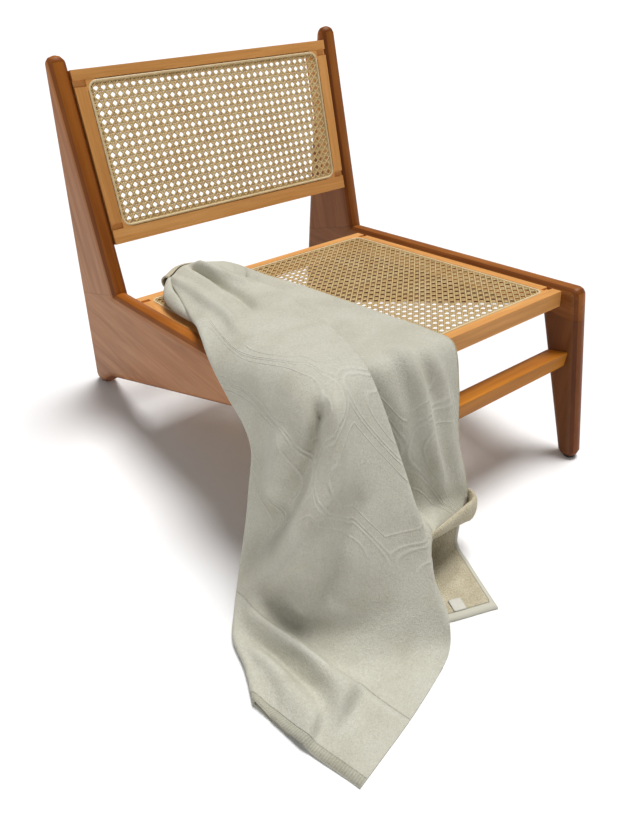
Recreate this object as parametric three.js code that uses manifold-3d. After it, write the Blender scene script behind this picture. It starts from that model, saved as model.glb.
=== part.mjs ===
// A beach towel, folded double, draped over the near front corner of a low cane lounge chair.
// Millimetres. While it is built, X = 0 is the chair's near outer face, Y = 0 its front and Z = 0 the
// floor; Y grows towards the back. The last lines move the whole to its base centre.

import * as THREE from 'three';
import Module from 'manifold-3d';
import { ConvexGeometry } from 'three/addons/geometries/ConvexGeometry.js';
import { mergeVertices } from 'three/addons/utils/BufferGeometryUtils.js';

const wasm = await Module();
wasm.setup();

// Chair sizes
const GAP = 0.3;
const CHAIR_WIDTH = 580;
const BOARD = 32;
const EDGE_ROUND = 14;
const GLIDE_HEIGHT = 5;
const GLIDE_RADIUS = 10;
const SEAT = { y: 24, z: 299, slope: 0.1066, length: 509 };
const BACK = { y: 577, z: 330, lean: 0.276, length: 278 };
const FRAME_THICKNESS = 26;
const CANE_THICKNESS = 3;
const LEDGE_WIDTH = 10;
const LEDGE_DEPTH = CANE_THICKNESS + 1;

// Towel sizes: cloth thickness, and the distance between the middles of two layers
const CLOTH = 3;
const LAYER = 8.5;
const LABEL = { width: 19, length: 21, thickness: 1.2, x: 145, y: -168, turn: 160 };

// Materials
function material(colour, roughness) {
  return new THREE.MeshStandardMaterial({ color: colour, roughness, metalness: 0 });
}

const WOOD = 0xa5612f;
const CANE = 0xd8b878;
const VELOUR = 0xcac7b9;
const WOVEN = 0xe6e2d6;
const GLIDE = 0x2b2622;

const part = new THREE.Group();

function piece(name, geometry, colour, roughness, parent = part) {
  const mesh = new THREE.Mesh(geometry, material(colour, roughness));
  mesh.name = name;
  parent.add(mesh);
  return mesh;
}

// Solids for cutting
function toSolid(geometry) {
  const bare = geometry.clone();
  bare.deleteAttribute('normal');
  bare.deleteAttribute('uv');
  const merged = mergeVertices(bare, 1e-3);
  return new wasm.Manifold(new wasm.Mesh({
    numProp: 3,
    vertProperties: new Float32Array(merged.attributes.position.array),
    triVerts: new Uint32Array(merged.index.array),
  }));
}

function toGeometry(solid) {
  const mesh = solid.getMesh();
  const geometry = new THREE.BufferGeometry();
  geometry.setAttribute('position', new THREE.BufferAttribute(mesh.vertProperties, 3));
  geometry.setIndex(new THREE.BufferAttribute(mesh.triVerts, 1));
  return geometry;
}

// A closed outline in the side view, each corner rounded to its own radius
function sideShape(corners) {
  const shape = new THREE.Shape();
  corners.forEach((corner, i) => {
    const at = new THREE.Vector2(corner.y, corner.z);
    const before = corners[(i + corners.length - 1) % corners.length];
    const after = corners[(i + 1) % corners.length];
    const back = new THREE.Vector2(before.y, before.z).sub(at).normalize();
    const ahead = new THREE.Vector2(after.y, after.z).sub(at).normalize();
    const half = Math.acos(THREE.MathUtils.clamp(back.dot(ahead), -1, 1)) / 2;
    const reach = corner.r / Math.tan(half);
    const from = at.clone().addScaledVector(back, reach);
    const to = at.clone().addScaledVector(ahead, reach);
    if (i === 0) shape.moveTo(from.x, from.y);
    else shape.lineTo(from.x, from.y);
    if (corner.r > 0) shape.quadraticCurveTo(at.x, at.y, to.x, to.y);
  });
  shape.closePath();
  return shape;
}

// Turns an extrusion of a side view, made along Z, so that it runs along X from a given place
function alongX(geometry, x) {
  const turn = new THREE.Matrix4().makeBasis(
    new THREE.Vector3(0, 1, 0),
    new THREE.Vector3(0, 0, 1),
    new THREE.Vector3(1, 0, 0),
  );
  geometry.applyMatrix4(turn);
  geometry.translate(x, 0, 0);
  return geometry;
}

// One side frame: upright, side rail and front leg lie in one plane with fully rounded edges. Each is
// the hull of round-edged discs, given here by their centres in the side view.
const DISC_RADIUS = 15;
const NOSE = { y: 8, z: 293.7 };
const HEEL = { y: 704, z: 56 };
const BOARDS = {
  upright: [{ y: 665, z: 604 }, { y: 554, z: 200 }, { y: 694, z: 200 }],
  rail: [NOSE, { y: 692, z: 222 }, HEEL, { y: 635, z: 56 }],
  foot: [{ y: 638.5, z: 54.3 }, HEEL, { y: 707, z: 17 }, { y: 692.5, z: 17 }],
  leg: [NOSE, { y: 50, z: 276 }, { y: -48.6, z: 15 }, { y: -42.6, z: 15 }],
};

// The joint lines split their union into three boards
const JOINT_UPRIGHT = [
  { y: 500, z: 262 },
  { y: 552, z: 252 },
  { y: 697, z: 205 },
  { y: 800, z: 200 },
];
const JOINT_LEG = { y: 61, z: 256 };

const REGIONS = {
  upright: [
    { y: 500, z: 700 },
    ...JOINT_UPRIGHT.map((p) => ({ y: p.y, z: p.z + GAP / 2 })),
    { y: 800, z: 700 },
  ],
  side_rail: [
    ...JOINT_UPRIGHT.map((p) => ({ y: p.y, z: p.z - GAP / 2 })).reverse(),
    { y: 500, z: 400 },
    { y: -100, z: 400 },
    { y: -100, z: JOINT_LEG.z + GAP / 2 },
    { y: JOINT_LEG.y + GAP / 2, z: JOINT_LEG.z + GAP / 2 },
    { y: JOINT_LEG.y + GAP / 2, z: GLIDE_HEIGHT + GAP },
    { y: 800, z: GLIDE_HEIGHT + GAP },
  ],
  front_leg: [
    { y: -100, z: JOINT_LEG.z - GAP / 2 },
    { y: -100, z: GLIDE_HEIGHT + GAP },
    { y: JOINT_LEG.y - GAP / 2, z: GLIDE_HEIGHT + GAP },
    { y: JOINT_LEG.y - GAP / 2, z: JOINT_LEG.z - GAP / 2 },
  ],
};

function outline(points) {
  return new THREE.Shape(points.map((p) => new THREE.Vector2(p.y, p.z)));
}

const DISC_STEPS = 12;
const ROUND_STEPS = 3;
function roundedBoard(centres, x) {
  const points = [];
  for (const { y, z } of centres) {
    for (let i = 0; i <= ROUND_STEPS; i += 1) {
      const turn = (Math.PI / 2) * (i / ROUND_STEPS);
      const radius = DISC_RADIUS - EDGE_ROUND * (1 - Math.cos(turn));
      const depth = EDGE_ROUND * (1 - Math.sin(turn));
      for (let j = 0; j < DISC_STEPS; j += 1) {
        const a = (2 * Math.PI * j) / DISC_STEPS;
        const at = [y + radius * Math.cos(a), z + radius * Math.sin(a)];
        points.push(new THREE.Vector3(x + depth, ...at), new THREE.Vector3(x + BOARD - depth, ...at));
      }
    }
  }
  return toSolid(new ConvexGeometry(points));
}

function sideFrame(side, x) {
  const solid = Object.values(BOARDS)
    .map((centres) => roundedBoard(centres, x))
    .reduce((whole, board) => whole.add(board));
  for (const [name, region] of Object.entries(REGIONS)) {
    const slab = new THREE.ExtrudeGeometry(outline(region), { depth: BOARD + 2, bevelEnabled: false });
    const cut = solid.intersect(toSolid(alongX(slab, x - 1)));
    piece(`${name}_${side}`, toGeometry(cut), WOOD, 0.5);
  }
  for (const [end, y] of Object.entries({ front: -49, rear: 706 })) {
    const glide = new THREE.CylinderGeometry(GLIDE_RADIUS, GLIDE_RADIUS, GLIDE_HEIGHT, 20);
    glide.rotateX(Math.PI / 2);
    const mesh = piece(`glide_${end}_${side}`, glide, GLIDE, 0.7);
    mesh.position.set(x + BOARD / 2, y, GLIDE_HEIGHT / 2);
  }
}

sideFrame('near', 0);
sideFrame('far', CHAIR_WIDTH - BOARD);

// Front stretcher between the legs, its top facing up and back a little
const STRETCHER = [
  { y: -12, z: 201, r: 3 },
  { y: -9, z: 172, r: 3 },
  { y: 22, z: 164, r: 3 },
  { y: 30, z: 188, r: 3 },
];
const INNER_WIDTH = CHAIR_WIDTH - 2 * BOARD - 2 * GAP;
const INNER_X = BOARD + GAP;
piece('front_stretcher', alongX(new THREE.ExtrudeGeometry(sideShape(STRETCHER), {
  depth: INNER_WIDTH,
  bevelEnabled: false,
  curveSegments: 2,
}), INNER_X), WOOD, 0.5);

// A frame of four rails around a cane panel, in a local frame: X across, Y along, Z out of its face.
// Each rail has a ledge on its inner side, and the panel lies on the ledges.
function railProfile(strip) {
  return [
    [0, 0],
    [strip, 0],
    [strip, -LEDGE_DEPTH],
    [strip + LEDGE_WIDTH, -LEDGE_DEPTH],
    [strip + LEDGE_WIDTH, -FRAME_THICKNESS],
    [0, -FRAME_THICKNESS],
  ];
}

// A rail as an extrusion of its profile from start to end; inward is the way to the panel
function rail(name, strip, start, end, inward, group) {
  const shape = new THREE.Shape(railProfile(strip).map(([u, v]) => new THREE.Vector2(u, v)));
  const length = start.distanceTo(end);
  const geometry = new THREE.ExtrudeGeometry(shape, { depth: length, bevelEnabled: false });
  const up = new THREE.Vector3(0, 0, 1);
  const run = new THREE.Vector3().crossVectors(inward, up);
  const forward = end.clone().sub(start).normalize().dot(run) > 0;
  geometry.applyMatrix4(new THREE.Matrix4().makeBasis(inward, up, run));
  const from = forward ? start : end;
  geometry.translate(from.x, from.y, from.z);
  piece(name, geometry, WOOD, 0.5, group);
}

function canePanel(name, strips, length, group) {
  const V = (x, y) => new THREE.Vector3(x, y, 0);
  const near = strips.low + LEDGE_WIDTH + GAP;
  const far = length - strips.high - LEDGE_WIDTH - GAP;
  rail(`${name}_rail_low`, strips.low, V(0, 0), V(INNER_WIDTH, 0), V(0, 1), group);
  rail(`${name}_rail_high`, strips.high, V(0, length), V(INNER_WIDTH, length), V(0, -1), group);
  rail(`${name}_rail_near`, strips.side, V(0, near), V(0, far), V(1, 0), group);
  rail(`${name}_rail_far`, strips.side, V(INNER_WIDTH, near), V(INNER_WIDTH, far), V(-1, 0), group);
  const width = INNER_WIDTH - 2 * strips.side - 2 * GAP;
  const height = length - strips.low - strips.high - 2 * GAP;
  const cane = new THREE.BoxGeometry(width, height, CANE_THICKNESS);
  const mesh = piece(`${name}_cane`, cane, CANE, 0.7, group);
  mesh.position.set(
    INNER_WIDTH / 2,
    strips.low + GAP + height / 2,
    GAP + CANE_THICKNESS / 2 - LEDGE_DEPTH,
  );
}

const seatGroup = new THREE.Group();
seatGroup.position.set(INNER_X, SEAT.y, SEAT.z);
seatGroup.rotation.x = -Math.atan(SEAT.slope);
part.add(seatGroup);
canePanel('seat', { low: 18, high: 19, side: 16 }, SEAT.length, seatGroup);

const backGroup = new THREE.Group();
backGroup.position.set(INNER_X, BACK.y, BACK.z);
backGroup.rotation.x = Math.PI / 2 - Math.atan(BACK.lean);
part.add(backGroup);
canePanel('back', { low: 24, high: 16, side: 21 }, BACK.length, backGroup);

// Height of the seat's top face at a depth y, plus a height above it
function overSeat(y, height) {
  return SEAT.z - SEAT.slope * (y - SEAT.y) + height;
}

// The towel's upper layer, one row for each section from the fold at the seat's back to the end hem on
// the floor. left is its left border, nose its middle over the chair's corner, ridge the free edge of
// the big pleat, valley the bottom of the pleat and right its right border. curl is how far the left
// border turns under, and folded goes from 0, no pleat, to 1.
const FLOOR = CLOTH / 2;
const OVER_PANEL = CLOTH / 2 + 0.8;
const OVER_FOLD = OVER_PANEL + LAYER;
const UPPER = [
  { at: 'back fold', left: [76, 478, overSeat(478, 38)], nose: [118, 500, overSeat(500, 46)],
    ridge: [166, 478, overSeat(478, 42)], valley: [196, 470, overSeat(470, 26)],
    right: [226, 460, overSeat(460, OVER_FOLD)], curl: 0, folded: 0 },
  { at: 'loop', left: [67, 450, overSeat(450, 36)], nose: [112, 462, overSeat(462, 57)],
    ridge: [166, 444, overSeat(444, 54)], valley: [206, 434, overSeat(434, 30)],
    right: [242, 422, overSeat(422, OVER_FOLD)], curl: 0, folded: 0 },
  { at: 'tuck', left: [50, 390, overSeat(390, 31)], nose: [112, 400, overSeat(400, 50)],
    ridge: [160, 376, overSeat(376, 46)], valley: [156, 382, overSeat(382, 26)],
    right: [252, 370, overSeat(370, OVER_FOLD)], curl: 0, folded: 0.7 },
  { at: 'behind the rail', left: [31, 325, overSeat(325, 25)], nose: [94, 330, overSeat(330, 47)],
    ridge: [164, 277, overSeat(277, 45)], valley: [136, 296, overSeat(296, 22)],
    right: [257, 300, overSeat(300, OVER_FOLD)], curl: 0, folded: 1 },
  { at: 'on the rail', left: [4, 252, overSeat(252, 36)], nose: [68, 250, overSeat(250, 44)],
    ridge: [150, 200, overSeat(200, 43)], valley: [104, 226, overSeat(226, 21)],
    right: [261, 225, overSeat(225, OVER_FOLD)], curl: 0, folded: 1 },
  { at: 'over the rail', left: [-14, 196, 288], nose: [40, 140, overSeat(140, 40)],
    ridge: [132, 112, overSeat(112, 43)], valley: [80, 132, overSeat(132, 20)],
    right: [266, 135, overSeat(135, OVER_FOLD)], curl: 0, folded: 1 },
  { at: 'seat edge', left: [-16, 150, 252], nose: [14, 22, 344],
    ridge: [106, 33, 342], valley: [62, 52, overSeat(52, 22)],
    right: [270, 46, overSeat(46, OVER_FOLD)], curl: 0, folded: 1 },
  { at: 'over the edge', left: [-17, 112, 229], nose: [-6, -26, 322],
    ridge: [92, -14, 336], valley: [62, 8, 325],
    right: [267, 2, 308], curl: 14, folded: 1 },
  { at: 'upper fall', left: [-20, 92, 200], nose: [-16, -46, 280],
    ridge: [90, -46, 300], valley: [64, -25, 286],
    right: [262, -22, 250], curl: 18, folded: 1 },
  { at: 'middle fall', left: [-32, 84, 150], nose: [-26, -66, 205],
    ridge: [93, -78, 240], valley: [66, -44, 222],
    right: [250, -44, 180], curl: 18, folded: 1 },
  { at: 'right corner', left: [-50, 72, 92], nose: [-30, -84, 130],
    ridge: [92, -112, 184], valley: [70, -58, 150],
    right: [245, -80, 82], curl: 16, folded: 1 },
  { at: 'lower fall', left: [-74, 56, 36], nose: [-32, -100, 72],
    ridge: [95, -150, 104], valley: [78, -110, 84],
    right: [118, -124, 90], curl: 12, folded: 0 },
  { at: 'foot of the fall', left: [-112, 12, 13], nose: [-36, -116, 28],
    ridge: [84, -178, 54], valley: [90, -186, 46],
    right: [95, -194, 36], curl: 12, folded: 0 },
  { at: 'on the floor', left: [-138, -26, 12], nose: [-62, -134, 12],
    ridge: [68, -203, 8], valley: [73, -210, 6],
    right: [78, -216, 3], curl: 14, folded: 0 },
  { at: 'border', left: [-150, -72, 12], nose: [-92, -164, 9],
    ridge: [-13, -234, 3], valley: [-10, -242, FLOOR],
    right: [-8, -249, FLOOR], curl: 16, folded: 0 },
  { at: 'end hem', left: [-170, -122, 11], nose: [-157, -205, 5],
    ridge: [-139, -268, FLOOR], valley: [-137, -276, FLOOR],
    right: [-135, -283, FLOOR], curl: 16, folded: 0 },
];

// The under layer. Down to the right corner its rows go with the upper layer's; from there it falls to
// the floor and ends in the corner that carries the label.
const OVER_RAIL = 12.5;
const CORNER_ROW = 10;
const UNDER = [
  { left: [77, 492, overSeat(492, 16)], nose: [122, 504, overSeat(504, OVER_PANEL + 2)],
    mid: [170, 484, overSeat(484, OVER_PANEL)] },
  { left: [48, 436, overSeat(436, 24)], nose: [108, 440, overSeat(440, OVER_PANEL + 1)],
    mid: [170, 430, overSeat(430, OVER_PANEL)] },
  { left: [38, 392, overSeat(392, 20)], nose: [96, 380, overSeat(380, OVER_PANEL + 2)],
    mid: [160, 370, overSeat(370, OVER_PANEL)] },
  { left: [38, 344, overSeat(344, 14)], nose: [88, 320, overSeat(320, OVER_PANEL)],
    mid: [155, 305, overSeat(305, OVER_PANEL)] },
  { left: [26, 262, overSeat(262, OVER_RAIL)], nose: [76, 250, overSeat(250, OVER_PANEL + 1)],
    mid: [150, 235, overSeat(235, OVER_PANEL)] },
  { left: [16, 200, overSeat(200, OVER_RAIL)], nose: [60, 170, overSeat(170, OVER_PANEL + 3)],
    mid: [145, 150, overSeat(150, OVER_PANEL)] },
  { left: [8, 130, overSeat(130, OVER_RAIL)], nose: [36, 60, overSeat(60, 13)],
    mid: [130, 56, overSeat(56, OVER_PANEL)] },
  { left: [-5, 60, 297], nose: [10, -7, 314], mid: [118, 18, 302.5] },
  { left: [-6, 22, 262], nose: [-5, -23, 268], mid: [114, 12, 266] },
  { left: [-9, -14, 205], nose: [-8, -44, 205], mid: [112, -20, 208] },
  { left: [-11, -40, 128], nose: [-8, -60, 132], mid: [112, -30, 138] },
  { left: [-14, -62, 62], nose: [-6, -76, 64], mid: [112, -52, 62], right: [232, -84, 38] },
  { left: [-20, -80, 16], nose: [6, -92, 16], mid: [110, -84, 14], right: [230, -88, 8] },
  { left: [-26, -84, FLOOR], nose: [24, -104, FLOOR], mid: [105, -118, FLOOR], right: [218, -126, FLOOR] },
  { left: [-30, -90, FLOOR], nose: [30, -118, FLOOR], mid: [92, -170, FLOOR], right: [187, -207, FLOOR] },
];

// Creases of the upper layer. A path goes through places, each in rows along the towel and shares
// across it: 0 at the left border, 1 at the ridge and 2 at the right border. A crest has a positive depth.
const ROW_SPACING = 45;
const PANEL_WIDTH = 280;
const CREASES = [
  { name: 'seat crest', path: [[0.6, 0.03], [2.3, 0.2], [4.1, 0.38]], depth: 9, width: 22 },
  { name: 'inner seat crest', path: [[1.4, 0.6], [2.4, 0.8]], depth: 11, width: 20 },
  { name: 'seat trough', path: [[1.1, 0.5], [2.4, 0.56], [3.6, 0.65]], depth: -13, width: 20 },
  { name: 'hollow by the ridge', path: [[1.7, 0.82], [2.2, 0.88]], depth: -9, width: 13 },
  { name: 'big trough',
    path: [[7.2, 0.54], [8.1, 0.48], [8.6, 0.38], [9.3, 0.25], [10.1, 0.12], [11, 0.02]],
    depth: -16, width: 20 },
  { name: 'big crest',
    path: [[7.4, 0.7], [8.1, 0.67], [8.6, 0.63], [9, 0.54], [9.9, 0.34], [10.8, 0.19], [11.5, 0.08]],
    depth: 20, width: 24 },
  { name: 'left crest', path: [[7.8, 0.28], [8.6, 0.2], [9.2, 0.08]], depth: 9, width: 20 },
  { name: 'lower trough', path: [[9.3, 0.72], [9.9, 0.6], [10.8, 0.52]], depth: -8, width: 18 },
  { name: 'lower crest', path: [[9.6, 0.56], [10.2, 0.46], [11.2, 0.36]], depth: 9, width: 16 },
  { name: 'knob fold', path: [[9.2, 0.03], [9, 0.14], [9.2, 0.26]], depth: -7, width: 11 },
  { name: 'upper floor crest',
    path: [[12.2, 0.1], [12.9, 0.36], [13.7, 0.5], [14.1, 0.64]],
    depth: 24, width: 20 },
  { name: 'floor trough',
    path: [[12.8, 0.03], [13.2, 0.2], [13.9, 0.35], [14.3, 0.52]],
    depth: -6, width: 12 },
  { name: 'lower floor crest', path: [[13.6, 0.1], [14.3, 0.27], [14.6, 0.5]], depth: 15, width: 18 },
  { name: 'slit', path: [[14.6, 0.07], [15, 0.17]], depth: -7, width: 8 },
  { name: 'shade under the ridge',
    path: [[6.7, 1.16], [7.6, 1.2], [8.8, 1.28], [10, 1.4]],
    depth: -13, width: 26 },
  { name: 'right crest', path: [[7, 1.54], [8.2, 1.6], [9.4, 1.69]], depth: 13, width: 20 },
  { name: 'outer right crest', path: [[7.1, 1.74], [8.4, 1.88], [9.3, 1.93]], depth: 9, width: 15 },
];

// Points between the rows of a table: one smooth curve for each named column
function guides(rows, names) {
  const curves = {};
  for (const name of names) {
    const points = rows.map((row) => new THREE.Vector3(...row[name]));
    curves[name] = new THREE.CatmullRomCurve3(points, false, 'centripetal');
  }
  return (row) => {
    const at = {};
    for (const name of names) at[name] = curves[name].getPoint(row / (rows.length - 1));
    return at;
  };
}

// A number column between its rows
function between(rows, name, row) {
  const low = Math.min(Math.floor(row), rows.length - 2);
  return THREE.MathUtils.lerp(rows[low][name], rows[low + 1][name], row - low);
}

// How far the creases lift the cloth at a place
function creaseLift(row, share) {
  const here = new THREE.Vector2(row * ROW_SPACING, share * PANEL_WIDTH);
  let lift = 0;
  for (const crease of CREASES) {
    const places = crease.path.map(([r, s]) => new THREE.Vector2(r * ROW_SPACING, s * PANEL_WIDTH));
    let nearest = Infinity;
    for (let i = 0; i + 1 < places.length; i += 1) {
      const run = places[i + 1].clone().sub(places[i]);
      const along = THREE.MathUtils.clamp(here.clone().sub(places[i]).dot(run) / run.lengthSq(), 0, 1);
      nearest = Math.min(nearest, here.distanceTo(places[i].clone().addScaledVector(run, along)));
    }
    lift += crease.depth * Math.exp(-((nearest / crease.width) ** 2));
  }
  return lift;
}

const PANEL_STEPS = 18;
const RIGHT_STEPS = 9;
const UNDER_STEPS = 12;
const FLAT_SHARE = 0.45;
const NEARBY = 0.05;
const TIP_REACH = 3.8;
const UPPER_NAMES = ['left', 'nose', 'ridge', 'valley', 'right'];
const upperGuides = guides(UPPER, UPPER_NAMES);

function move(point, direction, distance) {
  return point.clone().addScaledVector(direction, distance);
}

// The left hem in section, from its free end to the panel: each point is how far it reaches beyond the
// panel's start and how far below it. It lies flat at curl 0 and turns right under at FULL_CURL.
const FULL_CURL = 14;
const HEM_STEPS = 3;
const LEAST_HEM = 2;
function hemProfile(curl) {
  const turn = Math.PI * Math.max(0.01, THREE.MathUtils.smoothstep(curl, 0, FULL_CURL));
  const radius = (Math.PI * LAYER) / 2 / turn;
  const profile = [];
  for (let i = 1; i <= HEM_STEPS; i += 1) {
    const a = (turn * i) / HEM_STEPS;
    profile.push([radius * Math.sin(a), radius * (1 - Math.cos(a))]);
  }
  const flap = Math.max(curl, LEAST_HEM);
  const [reach, down] = profile[HEM_STEPS - 1];
  profile.push([reach + flap * Math.cos(turn), down + flap * Math.sin(turn)]);
  return profile.reverse();
}

// One section of the upper layer, from the turned-under left border to the right border
function upperSection(row) {
  const g = upperGuides(row);
  const last = UPPER.length - 1;
  const ahead = upperGuides(Math.min(row + NEARBY, last));
  const behind = upperGuides(Math.max(row - NEARBY, 0));
  const hem = hemProfile(between(UPPER, 'curl', row));
  const inward = g.nose.clone().sub(g.left).normalize();
  const base = move(g.left, inward, Math.max(...hem.map(([reach]) => reach)));
  const panel = new THREE.CatmullRomCurve3([base, g.nose, g.ridge], false, 'centripetal');
  const along = (name) => ahead[name].clone().sub(behind[name]).normalize();
  const outward = (name, across) => new THREE.Vector3().crossVectors(along(name), across).normalize();
  const startAcross = panel.getTangent(0);
  const endAcross = panel.getTangent(1);
  const leftOut = outward('left', startAcross);
  const noseOut = outward('nose', panel.getTangent(0.5));
  const ridgeOut = outward('ridge', endAcross);

  const points = hem.map(([reach, down]) => move(move(base, startAcross, -reach), leftOut, -down));

  for (let i = 0; i <= PANEL_STEPS; i += 1) {
    const share = i / PANEL_STEPS;
    const out = share < 0.5
      ? leftOut.clone().lerp(noseOut, share * 2)
      : noseOut.clone().lerp(ridgeOut, share * 2 - 1);
    const fade = Math.sqrt(Math.sin(Math.PI * share));
    points.push(move(panel.getPoint(share), out.normalize(), creaseLift(row, share) * fade));
  }

  const folded = between(UPPER, 'folded', row);
  const under = move(g.ridge, ridgeOut, -LAYER);
  const valleyTop = move(g.valley, ridgeOut, LAYER);
  const foldPoints = [
    move(move(g.ridge, ridgeOut, -LAYER / 2), endAcross, TIP_REACH),
    under,
    under.clone().lerp(valleyTop, 0.5),
    valleyTop,
    move(move(g.valley, ridgeOut, LAYER / 2), endAcross, -TIP_REACH),
    g.valley.clone(),
  ];
  const lip = new THREE.CatmullRomCurve3([g.nose, g.ridge, g.right], false, 'centripetal');
  const onLip = (share) => lip.getPoint((1 + share) / 2);
  foldPoints.forEach((point, i) => {
    points.push(onLip((FLAT_SHARE * (i + 1)) / foldPoints.length).lerp(point, folded));
  });
  const start = points[points.length - 1].clone();
  const rightOut = outward('right', g.right.clone().sub(start).normalize());
  for (let i = 1; i <= RIGHT_STEPS; i += 1) {
    const share = i / RIGHT_STEPS;
    const flat = onLip(THREE.MathUtils.lerp(FLAT_SHARE, 1, share));
    const fade = folded * Math.sqrt(Math.max(Math.sin(Math.PI * share), 0));
    const at = flat.lerp(start.clone().lerp(g.right, share), folded);
    points.push(move(at, rightOut, creaseLift(row, 1 + share) * fade));
  }
  return points;
}

// Stations along the towel, in rows
const STATIONS_PER_ROW = 3;
const stationsOf = (rows) => Array.from(
  { length: (rows.length - 1) * STATIONS_PER_ROW + 1 },
  (_, i) => i / STATIONS_PER_ROW,
);
const STATIONS = stationsOf(UPPER);
const sections = STATIONS.map(upperSection);
const cornerStation = STATIONS.indexOf(CORNER_ROW);

// The middle surface of the cloth as one mesh of shared points
const points = [];
const faces = [];
function addRow(row) {
  return row.map((p) => points.push(p.clone()) - 1);
}
function sheet(rows) {
  for (let i = 0; i + 1 < rows.length; i += 1) {
    for (let j = 0; j + 1 < rows[i].length; j += 1) {
      const [a, b, c, d] = [rows[i][j], rows[i][j + 1], rows[i + 1][j + 1], rows[i + 1][j]];
      faces.push([a, d, c], [a, c, b]);
    }
  }
}
const upper = sections.map(addRow);
sheet(upper);

// The edge of the upper layer where it folds over: along the back, then down the right border
const upperFold = [...upper[0], ...upper.slice(1, cornerStation + 1).map((row) => row[row.length - 1])];

// The way from the upper layer's right border down to the under layer
function downward(station) {
  const section = sections[station];
  const across = section.at(-1).clone().sub(section.at(-2)).normalize();
  const next = sections[Math.min(station + 1, sections.length - 1)];
  const previous = sections[Math.max(station - 1, 0)];
  const run = next.at(-1).clone().sub(previous.at(-1)).normalize();
  return new THREE.Vector3().crossVectors(across, run).normalize();
}

const underGuides = guides(UNDER, ['left', 'nose', 'mid']);
const underRight = new THREE.CatmullRomCurve3([
  sections[cornerStation].at(-1).clone().add(new THREE.Vector3(0, 2, -LAYER)),
  ...UNDER.slice(CORNER_ROW + 1).map((row) => new THREE.Vector3(...row.right)),
], false, 'centripetal');

function underSection(row, station) {
  const g = underGuides(row);
  let right = null;
  if (station <= cornerStation) {
    const down = station === 0 ? new THREE.Vector3(0, 0, -1) : downward(station);
    right = move(sections[station].at(-1), down, LAYER);
  } else {
    right = underRight.getPoint((row - CORNER_ROW) / (UNDER.length - 1 - CORNER_ROW));
  }
  const curve = new THREE.CatmullRomCurve3([right, g.mid, g.nose, g.left], false, 'centripetal');
  return curve.getPoints(UNDER_STEPS);
}
const underStations = stationsOf(UNDER);
const under = underStations.map((row, station) => addRow(underSection(row, station)));
sheet(under);

// The fold itself: half a circle from each point of the upper edge round to the under edge
const FOLD_STEPS = 4;
const underBack = under[0].slice().reverse();
const underFold = [...underBack, ...under.slice(1, cornerStation + 1).map((row) => row[0])];
const lastBack = upper[0].length - 1;
function facing(i) {
  if (i > lastBack) return points[underFold[i - lastBack + underBack.length - 1]].clone();
  const along = (i / lastBack) * (underBack.length - 1);
  const low = Math.min(Math.floor(along), underBack.length - 2);
  return points[underBack[low]].clone().lerp(points[underBack[low + 1]], along - low);
}
const foldLines = Array.from({ length: FOLD_STEPS - 1 }, () => []);
upperFold.forEach((index, i) => {
  const top = points[index];
  const half = top.clone().sub(facing(i)).multiplyScalar(0.5);
  const middle = top.clone().sub(half);
  const before = points[upperFold[Math.max(i - 1, 0)]];
  const after = points[upperFold[Math.min(i + 1, upperFold.length - 1)]];
  const run = after.clone().sub(before);
  const out = half.clone().cross(run).normalize().multiplyScalar(half.length());
  foldLines.forEach((line, k) => {
    const a = (Math.PI * (k + 1)) / FOLD_STEPS;
    line.push(move(move(middle, half, Math.cos(a)), out, Math.sin(a)));
  });
});
const fold = [upperFold, ...foldLines.map(addRow)];
for (let k = 0; k + 1 < fold.length; k += 1) {
  for (let i = 0; i + 1 < upperFold.length; i += 1) {
    const [a, b, c, d] = [fold[k][i], fold[k + 1][i], fold[k + 1][i + 1], fold[k][i + 1]];
    faces.push([a, d, c], [a, c, b]);
  }
}

// Joins two lines of points with different counts, shortest diagonal first
function zip(lineA, lineB) {
  let i = 0;
  let j = 0;
  while (i + 1 < lineA.length || j + 1 < lineB.length) {
    const nextA = i + 1 < lineA.length
      ? points[lineA[i + 1]].distanceTo(points[lineB[j]]) : Infinity;
    const nextB = j + 1 < lineB.length
      ? points[lineB[j + 1]].distanceTo(points[lineA[i]]) : Infinity;
    if (nextA <= nextB) {
      faces.push([lineA[i], lineA[i + 1], lineB[j]]);
      i += 1;
    } else {
      faces.push([lineA[i], lineB[j + 1], lineB[j]]);
      j += 1;
    }
  }
}
zip(fold.at(-1), underFold);

// Gives the middle surface its thickness and closes it round its border
function thicken() {
  const normals = points.map(() => new THREE.Vector3());
  const edges = new Map();
  for (const [a, b, c] of faces) {
    const normal = points[b].clone().sub(points[a]).cross(points[c].clone().sub(points[a]));
    for (const index of [a, b, c]) normals[index].add(normal);
    for (const [p, q] of [[a, b], [b, c], [c, a]]) edges.set(`${p}_${q}`, [p, q]);
  }
  const position = [];
  for (const side of [1, -1]) {
    points.forEach((point, i) => {
      const at = move(point, normals[i].normalize(), (side * CLOTH) / 2);
      position.push(at.x, at.y, Math.max(at.z, 0));
    });
  }
  const count = points.length;
  const index = [];
  for (const [a, b, c] of faces) index.push(a, b, c, count + a, count + c, count + b);
  for (const [p, q] of edges.values()) {
    if (!edges.has(`${q}_${p}`)) index.push(p, count + p, count + q, p, count + q, q);
  }
  const geometry = new THREE.BufferGeometry();
  geometry.setAttribute('position', new THREE.Float32BufferAttribute(position, 3));
  geometry.setIndex(index);
  return geometry;
}
piece('towel', thicken(), VELOUR, 0.95);

// The blank label lies on the hem of the under layer's corner
const labelBox = new THREE.BoxGeometry(LABEL.width, LABEL.length, LABEL.thickness);
const label = piece('label', labelBox, WOVEN, 0.8);
label.position.set(LABEL.x, LABEL.y, CLOTH + GAP + LABEL.thickness / 2);
label.rotation.z = THREE.MathUtils.degToRad(LABEL.turn);

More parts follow.
